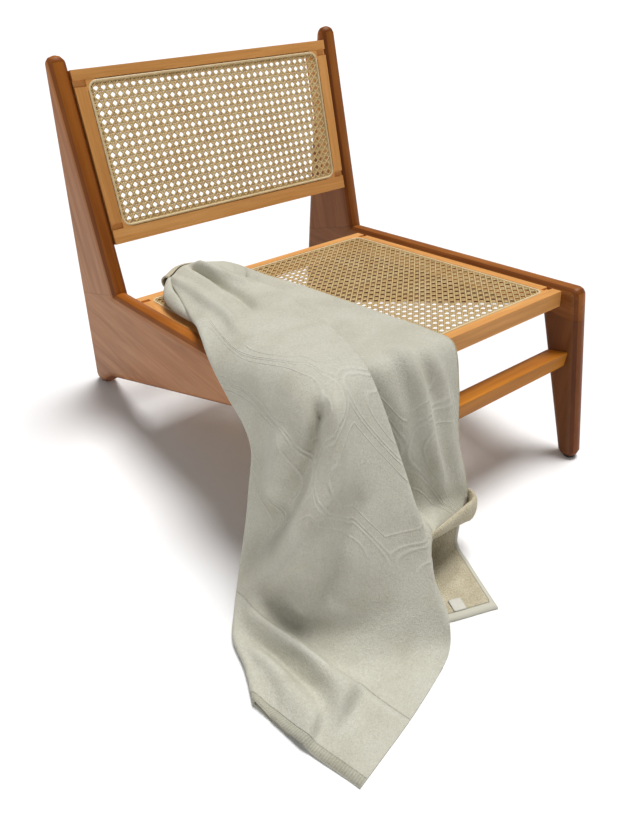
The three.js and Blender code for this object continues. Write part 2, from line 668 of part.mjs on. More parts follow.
// The origin is the middle of the whole part's base
const box = new THREE.Box3().setFromObject(part);
part.position.set(-(box.min.x + box.max.x) / 2, -(box.min.y + box.max.y) / 2, -box.min.z);

export default part;
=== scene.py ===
"""A beach towel, folded double and draped over the front corner of a low cane lounge chair.

Tables are in millimetres in the chair's own frame: X = 0 is its near outer face, Y = 0 its front and Z = 0
the floor; Y grows towards the back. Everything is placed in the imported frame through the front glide.
"""

from math import atan, copysign, cos, exp, floor, inf, pi, radians, sin, sqrt

import bpy
import numpy as np
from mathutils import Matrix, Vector
from numpy.linalg import norm


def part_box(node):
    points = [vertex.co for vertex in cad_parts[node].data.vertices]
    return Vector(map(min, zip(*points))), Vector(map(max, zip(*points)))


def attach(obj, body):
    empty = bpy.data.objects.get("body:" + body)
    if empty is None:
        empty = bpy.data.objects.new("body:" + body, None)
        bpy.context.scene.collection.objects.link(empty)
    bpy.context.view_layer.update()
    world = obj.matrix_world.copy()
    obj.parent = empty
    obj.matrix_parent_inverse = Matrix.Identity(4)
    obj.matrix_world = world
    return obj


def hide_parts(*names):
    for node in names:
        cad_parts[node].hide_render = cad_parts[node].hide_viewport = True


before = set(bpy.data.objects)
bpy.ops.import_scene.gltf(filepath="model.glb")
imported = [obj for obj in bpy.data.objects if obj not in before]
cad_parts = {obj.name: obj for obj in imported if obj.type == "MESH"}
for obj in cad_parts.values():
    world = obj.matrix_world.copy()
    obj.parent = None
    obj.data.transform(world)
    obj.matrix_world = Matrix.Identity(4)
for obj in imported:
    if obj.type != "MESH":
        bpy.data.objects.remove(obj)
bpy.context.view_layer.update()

MM = 0.001
GLIDE_CENTRE = (16, -49)
glide_low, glide_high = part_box("glide_front_near")
ORIGIN = np.array([
    (glide_low.x + glide_high.x) / 2 - GLIDE_CENTRE[0] * MM,
    (glide_low.y + glide_high.y) / 2 - GLIDE_CENTRE[1] * MM,
    0.0,
])


def placed(points):
    """Chair-frame millimetres as row-frame metres."""
    return np.asarray(points, float) * MM + ORIGIN


# Camera, floor and light

CAMERA_AT = (-443, -596, 816)
CAMERA_YAW, CAMERA_PITCH = 0.661, 0.614
FOCAL_PIXELS, IMAGE_HEIGHT, SENSOR = 734, 840, 36
NEAREST, FARTHEST = 0.02, 200
FLOOR_HALF, FLOOR_DROP = 30, 0.0002
WORLD_STRENGTH = 0.19


def add_to_scene(obj):
    bpy.context.scene.collection.objects.link(obj)


def aim(yaw, pitch):
    """The rotation of a camera that looks along a heading and down by a pitch."""
    level = cos(pitch)
    forward = Vector((sin(yaw) * level, cos(yaw) * level, -sin(pitch)))
    return forward.to_track_quat("-Z", "Y")


def make_camera():
    camera = bpy.data.objects.new("camera", bpy.data.cameras.new("camera"))
    camera.data.sensor_width = SENSOR
    camera.data.lens = FOCAL_PIXELS * SENSOR / IMAGE_HEIGHT
    camera.data.clip_start = NEAREST
    camera.data.clip_end = FARTHEST
    camera.location = placed(CAMERA_AT)
    camera.rotation_mode = "QUATERNION"
    camera.rotation_quaternion = aim(CAMERA_YAW, CAMERA_PITCH)
    add_to_scene(camera)
    bpy.context.scene.camera = camera


def make_sun(name, towards, strength, softness):
    """A distant soft light whose rays run along a direction; its softness is in degrees."""
    sun = bpy.data.objects.new(name, bpy.data.lights.new(name, "SUN"))
    sun.data.energy = strength
    sun.data.angle = radians(softness)
    sun.rotation_mode = "QUATERNION"
    sun.rotation_quaternion = Vector(towards).to_track_quat("-Z", "Y")
    add_to_scene(sun)


def make_floor(material):
    """A plain floor a little below the feet, so that nothing lies in its plane."""
    mesh = bpy.data.meshes.new("floor")
    far = FLOOR_HALF
    mesh.from_pydata([(-far, -far, 0), (far, -far, 0), (far, far, 0), (-far, far, 0)], [], [(0, 1, 2, 3)])
    mesh.materials.append(material)
    ground = bpy.data.objects.new("floor", mesh)
    ground.location.z = -FLOOR_DROP
    add_to_scene(ground)


def make_world():
    world = bpy.data.worlds.new("studio")
    world.use_nodes = True
    background = world.node_tree.nodes["Background"]
    background.inputs["Color"].default_value = (1, 1, 1, 1)
    background.inputs["Strength"].default_value = WORLD_STRENGTH
    bpy.context.scene.world = world


# Material helpers


class Shader:
    """A node material under construction."""

    def __init__(self, name):
        self.material = bpy.data.materials.new(name)
        self.material.use_nodes = True
        self.tree = self.material.node_tree
        self.surface = self.tree.nodes["Principled BSDF"]

    def node(self, kind, settings=None, **inputs):
        made = self.tree.nodes.new("ShaderNode" + kind)
        for key, value in (settings or {}).items():
            setattr(made, key, value)
        for key, value in inputs.items():
            slot = int(key[1:]) if key[0] == "_" and key[1:].isdigit() else key.replace("_", " ")
            self.put(made.inputs[slot], value)
        return made

    def put(self, socket, value):
        if isinstance(value, bpy.types.NodeSocket):
            self.tree.links.new(value, socket)
        else:
            socket.default_value = value

    def set(self, **inputs):
        """Sets or links the surface's own sockets."""
        for key, value in inputs.items():
            self.put(self.surface.inputs[key.replace("_", " ")], value)

    def math(self, operation, a, b=0.0, clamp=False):
        settings = {"operation": operation, "use_clamp": clamp}
        return self.node("Math", settings, _0=a, _1=b).outputs[0]

    def times(self, a, b, clamp=False):
        return self.math("MULTIPLY", a, b, clamp)

    def position(self, scale=(1, 1, 1), turn=(0, 0, 0)):
        place = self.node("TexCoord").outputs["Object"]
        turned = self.node("Mapping", Vector=place, Rotation=turn).outputs[0]
        return self.node("Mapping", Vector=turned, Scale=scale).outputs[0]

    def noise(self, vector, scale, detail=3.0, rough=0.5, distortion=0.0):
        made = self.node("TexNoise", Vector=vector, Scale=scale, Detail=detail,
                         Roughness=rough, Distortion=distortion)
        return made.outputs["Fac"]

    def map_range(self, value, first, last, to_first, to_last):
        made = self.node("MapRange", Value=value, From_Min=first, From_Max=last,
                         To_Min=to_first, To_Max=to_last)
        return made.outputs[0]

    def ramp(self, value, stops):
        made = self.node("ValToRGB", Fac=value)
        elements = made.color_ramp.elements
        while len(elements) < len(stops):
            elements.new(0.5)
        for element, (at, colour) in zip(elements, stops):
            element.position = at
            element.color = (*colour, 1)
        return made.outputs["Color"]

    def mix(self, share, a, b, blend="MIX"):
        made = self.node("Mix", {"data_type": "RGBA", "blend_type": blend})
        self.put(made.inputs["Factor"], share)
        self.put(made.inputs[6], a if isinstance(a, bpy.types.NodeSocket) else (*a, 1))
        self.put(made.inputs[7], b if isinstance(b, bpy.types.NodeSocket) else (*b, 1))
        return made.outputs[2]

    def shade(self, tone, layer, share=1.0):
        """A tone multiplied by a share of a layer."""
        return self.mix(share, tone, layer, "MULTIPLY")

    def bump(self, height, distance, strength=1.0, normal=None):
        made = self.node("Bump", Height=height, Distance=distance, Strength=strength)
        if normal is not None:
            self.put(made.inputs["Normal"], normal)
        return made.outputs[0]


def srgb(red, green, blue):
    """A linear colour from 0 to 255 display values."""
    def linear(value):
        share = value / 255
        return share / 12.92 if share <= 0.04045 else ((share + 0.055) / 1.055) ** 2.4
    return (linear(red), linear(green), linear(blue))


# Wood

SEAT_SLOPE = 0.1066
BACK_LEAN = 0.276
# Turns that bring each board's grain to the texture's X axis
GRAIN = {
    "across": (0, 0, 0),
    "along": (0, 0, pi / 2),
    "up": (0, pi / 2, 0),
    "leaning": (atan(BACK_LEAN), pi / 2, 0),
}
# Scales of the wood's layers along and across the grain
BROAD_SCALE, FINE_SCALE, PORE_SCALE, CLOUD_SCALE = (2.2, 30, 30), (9, 300, 300), (30, 900, 900), (3, 6, 6)
# Heights between which the painted light and shade on the -X faces fade, and the share of it that stays
# above them
POST_LOW, POST_TOP, POST_SHARE = 0.34, 0.6, 0.35
# How flat a place is where the darker edge starts and where it is darkest, and how dark that is
EDGE_STARTS, EDGE_FULL, EDGE_SHARE = 0.80, 0.55, 0.75

# Darkest, middle and lightest tones of a board, and those of its -X faces, which carry painted light on the
# near boards' outer faces and painted shade on the far boards' inner faces
PALETTES = {
    "near": ((142, 76, 18), (160, 90, 22), (174, 102, 32), (156, 100, 60), (174, 118, 74), (188, 134, 92)),
    "far": ((136, 76, 24), (152, 88, 30), (166, 100, 40), (120, 72, 32), (138, 84, 40), (152, 98, 52)),
    # The far front leg is darker all over: painted shade under the seat and the towel
    "leg": ((116, 62, 20), (132, 72, 26), (146, 84, 34), (98, 58, 28), (112, 66, 32), (124, 76, 40)),
    "panel": ((208, 144, 78), (224, 160, 90), (236, 176, 108)) * 2,
    "stretcher":
        ((172, 104, 26), (190, 120, 34), (204, 134, 48), (160, 108, 72), (176, 124, 88), (190, 140, 104)),
}


def wood(direction, palette):
    s = Shader("wood_" + direction + "_" + palette)
    turn = GRAIN[direction]
    broad = s.noise(s.position(BROAD_SCALE, turn), 1.6, 4, 0.55, 0.6)
    fine = s.noise(s.position(FINE_SCALE, turn), 1.0, 3, 0.6)
    pores = s.noise(s.position(PORE_SCALE, turn), 1.0, 2, 0.5)
    cloud = s.noise(s.position(CLOUD_SCALE, turn), 1.0, 2, 0.5)
    dark, middle, light, painted_side_dark, painted_side_middle, painted_side_lightest = (srgb(*c) for c in PALETTES[palette])
    tone = s.ramp(broad, [(0.30, dark), (0.50, middle), (0.70, light)])
    # A copy of the palette for the -X faces: painted light on the near boards, painted shade on the far
    # ones
    painted_side_tone = s.ramp(broad, [(0.30, painted_side_dark), (0.50, painted_side_middle), (0.70, painted_side_lightest)])
    place = s.node("TexCoord").outputs["Object"]
    height = s.node("SeparateXYZ", Vector=place).outputs[2]
    normal = s.node("NewGeometry").outputs["True Normal"]
    facing = s.node("SeparateXYZ", Vector=normal)
    # Painted light and shade by facing: the -X faces take the side tones, paler and pinker than the tops on
    # the near outer faces and darker on the far inner faces, least so at the top of the posts
    outer = s.math("POWER", s.times(facing.outputs[0], -1.0, True), 3.0)
    high = s.map_range(height, POST_LOW, POST_TOP, 1.0, POST_SHARE)
    tone = s.mix(s.times(outer, high), tone, painted_side_tone)
    streak = s.ramp(fine, [(0.35, (0.86, 0.84, 0.80)), (0.62, (1.03, 1.03, 1.03))])
    tone = s.shade(tone, streak, 0.6)
    dots = s.ramp(pores, [(0.30, (0.7, 0.64, 0.6)), (0.42, (1, 1, 1))])
    tone = s.shade(tone, dots, 0.35)
    shade = s.ramp(cloud, [(0.3, (0.93, 0.93, 0.93)), (0.7, (1.04, 1.04, 1.04))])
    tone = s.shade(tone, shade)
    # The rounded edges are darker
    flatness = 0.0
    for i in range(3):
        flatness = s.math("ADD", s.math("POWER", s.math("ABSOLUTE", facing.outputs[i]), 4.0), flatness)
    edge = s.map_range(flatness, EDGE_STARTS, EDGE_FULL, 0.0, EDGE_SHARE)
    tone = s.mix(edge, tone, s.shade(tone, (0.5, 0.4, 0.3)))
    rough = s.map_range(fine, 0.0, 1.0, 0.42, 0.55)
    grain = s.bump(fine, 0.0002, 0.4)
    s.set(Base_Color=tone, Roughness=rough, Specular_IOR_Level=0.22,
          Normal=s.bump(pores, 0.0001, 0.4, grain))
    return s.material


# Grain direction and palette of each board
WOOD_NODES = {
    ("along", "near"): ["side_rail_near"],
    ("along", "far"): ["side_rail_far"],
    ("up", "near"): ["front_leg_near"],
    ("up", "leg"): ["front_leg_far"],
    ("leaning", "near"): ["upright_near"],
    ("leaning", "far"): ["upright_far"],
    ("across", "stretcher"): ["front_stretcher"],
    ("along", "panel"): ["seat_rail_near", "seat_rail_far"],
    ("leaning", "panel"): ["back_rail_near", "back_rail_far"],
    ("across", "panel"): ["seat_rail_low", "seat_rail_high", "back_rail_low", "back_rail_high"],
}
# For welding a board's corners, in metres, and for telling its rounded edges, in degrees
WELD_WITHIN, ROUND_ANGLE = 0.00002, 40


def smooth_rounds(obj):
    """Welds a board's corners and shades its rounded edges smoothly, while its faces stay flat."""
    tree = bpy.data.node_groups.new("smooth_rounds", "GeometryNodeTree")
    for way in ("INPUT", "OUTPUT"):
        tree.interface.new_socket("Geometry", in_out=way, socket_type="NodeSocketGeometry")
    start = tree.nodes.new("NodeGroupInput")
    end = tree.nodes.new("NodeGroupOutput")
    weld = tree.nodes.new("GeometryNodeMergeByDistance")
    weld.inputs["Distance"].default_value = WELD_WITHIN
    faces, edges = (tree.nodes.new("GeometryNodeSetShadeSmooth") for _ in range(2))
    faces.domain, edges.domain = "FACE", "EDGE"
    angle = tree.nodes.new("GeometryNodeInputMeshEdgeAngle")
    gentle = tree.nodes.new("FunctionNodeCompare")
    gentle.operation = "LESS_THAN"
    gentle.inputs[1].default_value = radians(ROUND_ANGLE)
    link = tree.links.new
    link(start.outputs[0], weld.inputs["Geometry"])
    link(weld.outputs[0], faces.inputs["Geometry"])
    link(faces.outputs[0], edges.inputs["Geometry"])
    link(angle.outputs["Unsigned Angle"], gentle.inputs[0])
    link(gentle.outputs[0], edges.inputs["Shade Smooth"])
    link(edges.outputs[0], end.inputs[0])
    obj.modifiers.new("rounds", "NODES").node_group = tree
    obj.modifiers.new("even", "WEIGHTED_NORMAL").keep_sharp = True


def dress(name, material):
    """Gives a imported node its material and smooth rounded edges."""
    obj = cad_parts[name]
    obj.data.materials.clear()
    obj.data.materials.append(material)
    smooth_rounds(obj)


# Mesh helpers

SAME_PLACE = 1e-4


def make_piece(name, vertices, faces, materials, slots=None, smooth=True):
    mesh = bpy.data.meshes.new(name)
    mesh.from_pydata([tuple(v) for v in vertices], [], [tuple(int(i) for i in f) for f in faces])
    mesh.update()
    for material in materials:
        mesh.materials.append(material)
    if slots is not None:
        mesh.polygons.foreach_set("material_index", np.asarray(slots, np.int32))
    mesh.polygons.foreach_set("use_smooth", np.full(len(mesh.polygons), smooth))
    obj = bpy.data.objects.new(name, mesh)
    add_to_scene(obj)
    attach(obj, "root")
    return obj


def centripetal(points, times):
    """Points on a centripetal Catmull-Rom curve; times go from 0 to 1 with equal shares between knots."""
    points = np.asarray(points, float)
    last = len(points) - 1
    made = []
    for time in np.atleast_1d(times):
        at = time * last
        low = min(int(floor(at)), last - 1)
        w = at - low
        p1, p2 = points[low], points[low + 1]
        p0 = points[low - 1] if low > 0 else 2 * points[0] - points[1]
        p3 = points[low + 2] if low + 2 <= last else 2 * points[last] - points[last - 1]
        d0, d1, d2 = (sqrt(norm(b - a)) for a, b in ((p0, p1), (p1, p2), (p2, p3)))
        d1 = d1 if d1 > SAME_PLACE else 1.0
        d0 = d0 if d0 > SAME_PLACE else d1
        d2 = d2 if d2 > SAME_PLACE else d1
        t1 = ((p1 - p0) / d0 - (p2 - p0) / (d0 + d1) + (p2 - p1) / d1) * d1
        t2 = ((p2 - p1) / d1 - (p3 - p1) / (d1 + d2) + (p3 - p2) / d2) * d1
        c2 = -3 * p1 + 3 * p2 - 2 * t1 - t2
        c3 = 2 * p1 - 2 * p2 + t1 + t2
        made.append(p1 + t1 * w + c2 * w * w + c3 * w ** 3)
    return np.array(made)


def tube_faces(start, rings, sides):
    """Quads round a tube whose rings of points follow one another."""
    faces = []
    for a in range(start, start + (rings - 1) * sides, sides):
        for k in range(sides):
            n = (k + 1) % sides
            faces.append((a + k, a + n, a + sides + n, a + sides + k))
    return faces


def unit(v):
    return v / max(norm(v), 1e-9)


# Towel

SEAT_Y, SEAT_Z = 24, 299
CLOTH = 3
LAYER = 8.5
# Heights of the cloth's middle over the floor, the cane, the under layer and the rail
FLOOR = CLOTH / 2
OVER_PANEL = CLOTH / 2 + 0.8
OVER_FOLD = OVER_PANEL + LAYER
OVER_RAIL = 12.5


def seat(x, y, height):
    """A point at a height above the seat's top face."""
    return (x, y, SEAT_Z - SEAT_SLOPE * (y - SEAT_Y) + height)


# The upper layer from the back fold to the tip on the floor. The last column says how far the ridge is
# folded over the right part, from 0 to 1.
UPPER_COLUMNS = ("left", "nose", "ridge", "valley", "right", "folded")
UPPER = [
    (seat(76, 478, 38), seat(118, 500, 46), seat(166, 478, 42), seat(196, 470, 26),
     seat(226, 460, OVER_FOLD), 0),
    (seat(67, 450, 36), seat(112, 462, 57), seat(166, 444, 54), seat(206, 434, 30),
     seat(242, 422, OVER_FOLD), 0),
    (seat(50, 390, 31), seat(112, 400, 50), seat(160, 376, 46), seat(156, 382, 26),
     seat(252, 370, OVER_FOLD), 0.7),
    (seat(31, 325, 25), seat(94, 330, 47), seat(164, 277, 45), seat(136, 296, 22),
     seat(257, 300, OVER_FOLD), 1),
    (seat(4, 252, 36), seat(68, 250, 44), seat(150, 200, 43), seat(104, 226, 21),
     seat(261, 225, OVER_FOLD), 1),
    ((-14, 196, 288), seat(40, 140, 40), seat(132, 112, 43), seat(80, 132, 20),
     seat(266, 135, OVER_FOLD), 1),
    ((-16, 150, 252), (14, 22, 344), (106, 33, 342), seat(62, 52, 22),
     seat(270, 46, OVER_FOLD), 1),
    ((-17, 112, 229), (-6, -26, 322), (92, -14, 336), (62, 8, 325), (267, 2, 308), 1),
    ((-20, 92, 200), (-16, -46, 280), (90, -46, 300), (64, -25, 286), (262, -22, 250), 1),
    ((-32, 84, 150), (-26, -66, 205), (93, -78, 240), (66, -44, 222), (250, -44, 180), 1),
    ((-50, 72, 92), (-30, -84, 130), (92, -112, 184), (70, -58, 150), (245, -80, 82), 1),
    ((-74, 56, 36), (-32, -100, 72), (95, -150, 104), (78, -110, 84), (118, -124, 90), 0),
    ((-112, 12, 13), (-36, -116, 28), (84, -178, 54), (90, -186, 46), (95, -194, 36), 0),
    ((-138, -26, 12), (-62, -134, 12), (68, -203, 8), (73, -210, 6), (78, -216, 3), 0),
    ((-150, -72, 12), (-92, -164, 9), (-13, -234, 3), (-10, -242, FLOOR), (-8, -249, FLOOR), 0),
    ((-170, -122, 11), (-157, -205, 5), (-139, -268, FLOOR), (-137, -276, FLOOR), (-135, -283, FLOOR), 0),
]
# The row where the fold down the right border ends
CORNER_ROW = 10

# The under layer: left, nose and middle
UNDER = [
    (seat(77, 492, 16), seat(122, 504, OVER_PANEL + 2), seat(170, 484, OVER_PANEL)),
    (seat(48, 436, 24), seat(108, 440, OVER_PANEL + 1), seat(170, 430, OVER_PANEL)),
    (seat(38, 392, 20), seat(96, 380, OVER_PANEL + 2), seat(160, 370, OVER_PANEL)),
    (seat(38, 344, 14), seat(88, 320, OVER_PANEL), seat(155, 305, OVER_PANEL)),
    (seat(26, 262, OVER_RAIL), seat(76, 250, OVER_PANEL + 1), seat(150, 235, OVER_PANEL)),
    (seat(16, 200, OVER_RAIL), seat(60, 170, OVER_PANEL + 3), seat(145, 150, OVER_PANEL)),
    (seat(8, 130, OVER_RAIL), seat(36, 60, 13), seat(130, 56, OVER_PANEL)),
    ((-5, 60, 297), (10, -7, 314), (118, 18, 302.5)),
    ((-6, 22, 262), (-5, -23, 268), (114, 12, 266)),
    ((-9, -14, 205), (-8, -44, 205), (112, -20, 208)),
    ((-11, -40, 128), (-8, -60, 132), (112, -30, 138)),
    ((-14, -62, 62), (-6, -76, 64), (112, -52, 62)),
    ((-20, -80, 16), (6, -92, 16), (110, -84, 14)),
    ((-26, -84, FLOOR), (24, -104, FLOOR), (105, -118, FLOOR)),
    ((-30, -90, FLOOR), (30, -118, FLOOR), (92, -170, FLOOR)),
]
# Its free right border below the corner
UNDER_RIGHT = [(232, -84, 38), (230, -88, 8), (218, -126, FLOOR), (187, -207, FLOOR)]

ROW_SPACING = 45
PANEL_WIDTH = 280
# Name, path, depth and width. A path's places are a row and a share, which is 0 at the left border, 1 at
# the ridge and 2 at the right border.
CREASES = [
    ("seat crest", [(0.6, 0.03), (2.3, 0.2), (4.1, 0.38)], 10, 18),
    ("inner seat crest", [(1.4, 0.6), (2.4, 0.8)], 12, 17),
    ("seat trough", [(1.1, 0.5), (2.4, 0.56), (3.6, 0.65)], -14, 16),
    ("hollow by the ridge", [(1.7, 0.82), (2.2, 0.88)], -9, 13),
    ("big trough", [(7.2, 0.54), (8.1, 0.48), (8.6, 0.38), (9.3, 0.25), (10.1, 0.12), (11, 0.02)], -20, 14),
    ("big crest",
     [(7.4, 0.7), (8.1, 0.67), (8.6, 0.63), (9, 0.54), (9.9, 0.34), (10.8, 0.19), (11.5, 0.08)], 26, 20),
    ("left crest", [(7.8, 0.28), (8.6, 0.2), (9.2, 0.08)], 14, 18),
    ("lower trough", [(9.3, 0.72), (9.9, 0.6), (10.8, 0.52)], -10, 14),
    ("lower crest", [(9.6, 0.56), (10.2, 0.46), (11.2, 0.36)], 12, 14),
    ("knob fold", [(9.2, 0.03), (9, 0.14), (9.2, 0.26)], -7, 11),
    ("upper floor crest", [(12.2, 0.1), (12.9, 0.36), (13.7, 0.5), (14.1, 0.64)], 27, 15),
    ("floor trough", [(12.8, 0.03), (13.2, 0.2), (13.9, 0.35), (14.3, 0.52)], -6, 10),
    ("lower floor crest", [(13.6, 0.1), (14.3, 0.27), (14.6, 0.5)], 17, 15),
    ("slit", [(14.6, 0.07), (15, 0.17)], -3, 8),
    ("shade under the ridge", [(6.7, 1.16), (7.6, 1.2), (8.8, 1.28), (10, 1.4)], -18, 24),
    ("right crest", [(7, 1.54), (8.2, 1.6), (9.4, 1.69)], 16, 17),
    ("outer right crest", [(7.1, 1.74), (8.4, 1.88), (9.3, 1.93)], 11, 14),
]

# Row, and the share of the panel that the turned-under left border reaches behind it
TURNED_UNDER = [(0, 0.85), (3.2, 0.85), (4.4, 0.1), (7.2, 0.1), (8.2, 0.87), (13.0, 0.87), (14.0, 0.66),
                (15.0, 0.34)]
# Row, and how much of it comes back once more behind that, from 0 to 1
RETURNED = [(7.8, 0.04), (8.7, 1), (12.0, 1), (12.8, 0.04)]
RETURN_SHARE = 0.74
# How far the inner fold's tips round out, and the share of the right part that the fold's columns take
TIP_REACH = 3.8
FLAT_SHARE = 0.45
# Steps in rows and in shares for finding a direction
NEARBY = 0.05
TINY_SHARE = 1e-4
SMALL_SHARE = 0.01
UNDER_CORNER = (0, 2, -LAYER)
FAR_FROM_RIM = 1000.0
# Steps of the mesh
ROWS_BETWEEN = 9
TURN_STEPS, INNER_STEPS, RETURN_STEPS = 7, 22, 14
PANEL_STEPS, FOLD_STEPS_ACROSS, RIGHT_STEPS = 52, 20, 26
FOLD_STEPS = 8


def crease_lift(row, share):
    """How far the creases lift the cloth at a place."""
    lift = 0
    here = np.array([row * ROW_SPACING, share * PANEL_WIDTH])
    for _, path, depth, width in CREASES:
        places = np.array(path) * (ROW_SPACING, PANEL_WIDTH)
        nearest = inf
        for start, stop in zip(places, places[1:]):
            run = stop - start
            along = min(max((here - start) @ run / (run @ run), 0), 1)
            nearest = min(nearest, norm(here - start - along * run))
        lift += depth * exp(-((nearest / width) ** 2))
    return lift


def upper_guides(row):
    """The upper layer's guide points at a row, by column name."""
    at = {}
    for i, name in enumerate(UPPER_COLUMNS[:5]):
        at[name] = centripetal([r[i] for r in UPPER], row / (len(UPPER) - 1))[0]
    return at


def folded_at(row):
    return np.interp(row, range(len(UPPER)), [r[5] for r in UPPER])


def upper_section(row):
    """The upper layer across a row: turned-under border, panel, inner fold and right part."""
    last = len(UPPER) - 1
    g = upper_guides(row)
    ahead, behind = upper_guides(min(row + NEARBY, last)), upper_guides(max(row - NEARBY, 0))
    inward = unit(g["nose"] - g["left"])
    base = g["left"] + inward * LAYER / 2
    knots = [base, g["nose"], g["ridge"]]
    shares = np.linspace(0, 1, PANEL_STEPS + 1)
    panel = centripetal(knots, shares)
    tiny = TINY_SHARE
    ends = centripetal(knots, [0, tiny, 0.5 - tiny, 0.5 + tiny, 1 - tiny, 1])
    start_across, nose_across, end_across = (unit(ends[i + 1] - ends[i]) for i in (0, 2, 4))

    def outward(name, across):
        return unit(np.cross(unit(ahead[name] - behind[name]), across))

    left_out, nose_out = outward("left", start_across), outward("nose", nose_across)
    ridge_out = outward("ridge", end_across)

    def lifted(share, point, depth):
        """A point of the panel, raised by the creases and lowered by a depth."""
        if share < 0.5:
            out = left_out + (nose_out - left_out) * share * 2
        else:
            out = nose_out + (ridge_out - nose_out) * (share * 2 - 1)
        fade = sqrt(max(sin(pi * share), 0))
        return point + unit(out) * (crease_lift(row, share) * fade - depth)

    reach = np.interp(row, *zip(*TURNED_UNDER))
    inner = np.linspace(reach, 0, INNER_STEPS + 1)
    back = np.interp(row, *zip(*RETURNED))
    depth = LAYER * (1 + back)
    outer = np.linspace(reach - RETURN_SHARE * back, reach, RETURN_STEPS + 1)
    points = [lifted(share, point, depth) for share, point in zip(outer, centripetal(knots, outer))]
    turn_at = centripetal(knots, reach)[0]
    top, low = lifted(reach, turn_at, LAYER), lifted(reach, turn_at, depth)
    beyond = unit(centripetal(knots, reach + SMALL_SHARE)[0] - turn_at) * norm(top - low) / 2
    turns = [pi * i / TURN_STEPS for i in range(1, TURN_STEPS)]
    points.extend((top + low) / 2 + (low - top) / 2 * cos(a) + beyond * sin(a) for a in turns)
    points.extend(lifted(share, point, LAYER) for share, point in zip(inner, centripetal(knots, inner)))
    points.extend(base - start_across * LAYER / 2 * sin(a) - left_out * LAYER / 2 * (1 + cos(a))
                  for a in turns)
    points.extend(lifted(share, point, 0) for share, point in zip(shares, panel))

    folded = folded_at(row)
    under = g["ridge"] - ridge_out * LAYER
    valley_top = g["valley"] + ridge_out * LAYER
    corners = [
        g["ridge"],
        g["ridge"] - ridge_out * LAYER / 2 + end_across * TIP_REACH,
        under,
        (under + valley_top) / 2,
        valley_top,
        g["valley"] + ridge_out * LAYER / 2 - end_across * TIP_REACH,
        g["valley"],
    ]
    steps = np.linspace(0, 1, FOLD_STEPS_ACROSS + 1)[1:]
    fold = centripetal(corners, steps)
    lip = [g["nose"], g["ridge"], g["right"]]
    flat = centripetal(lip, (1 + FLAT_SHARE * steps) / 2)
    points.extend(flat + (fold - flat) * folded)
    start = points[-1]
    steps = np.linspace(0, 1, RIGHT_STEPS + 1)[1:]
    flat = centripetal(lip, (1 + FLAT_SHARE + (1 - FLAT_SHARE) * steps) / 2)
    straight = start + (g["right"] - start) * steps[:, None]
    right_out = outward("right", unit(g["right"] - start))
    for step, point in zip(steps, flat + (straight - flat) * folded):
        fade = folded * sqrt(max(sin(pi * step), 0))
        points.append(point + right_out * crease_lift(row, 1 + step) * fade)
    return np.array(points)


def under_guides(row):
    return [centripetal([r[i] for r in UNDER], row / (len(UNDER) - 1))[0] for i in range(3)]


class Cloth:
    """The towel's middle surface while it is put together."""

    def __init__(self):
        self.points = []
        self.faces = []
        self.flat = []
        self.rim = []

    def add(self, row, flat, rim):
        start = sum(len(p) for p in self.points)
        self.points.append(np.asarray(row))
        self.flat.append(np.asarray(flat))
        self.rim.append(np.asarray(rim))
        return list(range(start, start + len(row)))

    def strip(self, rows):
        for a_row, b_row in zip(rows, rows[1:]):
            for j in range(len(a_row) - 1):
                self.faces.append((a_row[j], b_row[j], b_row[j + 1], a_row[j + 1]))


def lengths_across(section):
    """Distance of each point of a section from its first one."""
    return np.concatenate([[0], np.cumsum(norm(np.diff(section, axis=0), axis=1))])


def lengths_along(sections):
    """Distance of each section from the last one, column by column."""
    steps = np.array([norm(a - b, axis=1) for a, b in zip(sections, sections[1:])])
    return np.vstack([np.cumsum(steps[::-1], axis=0)[::-1], np.zeros(len(sections[0]))])


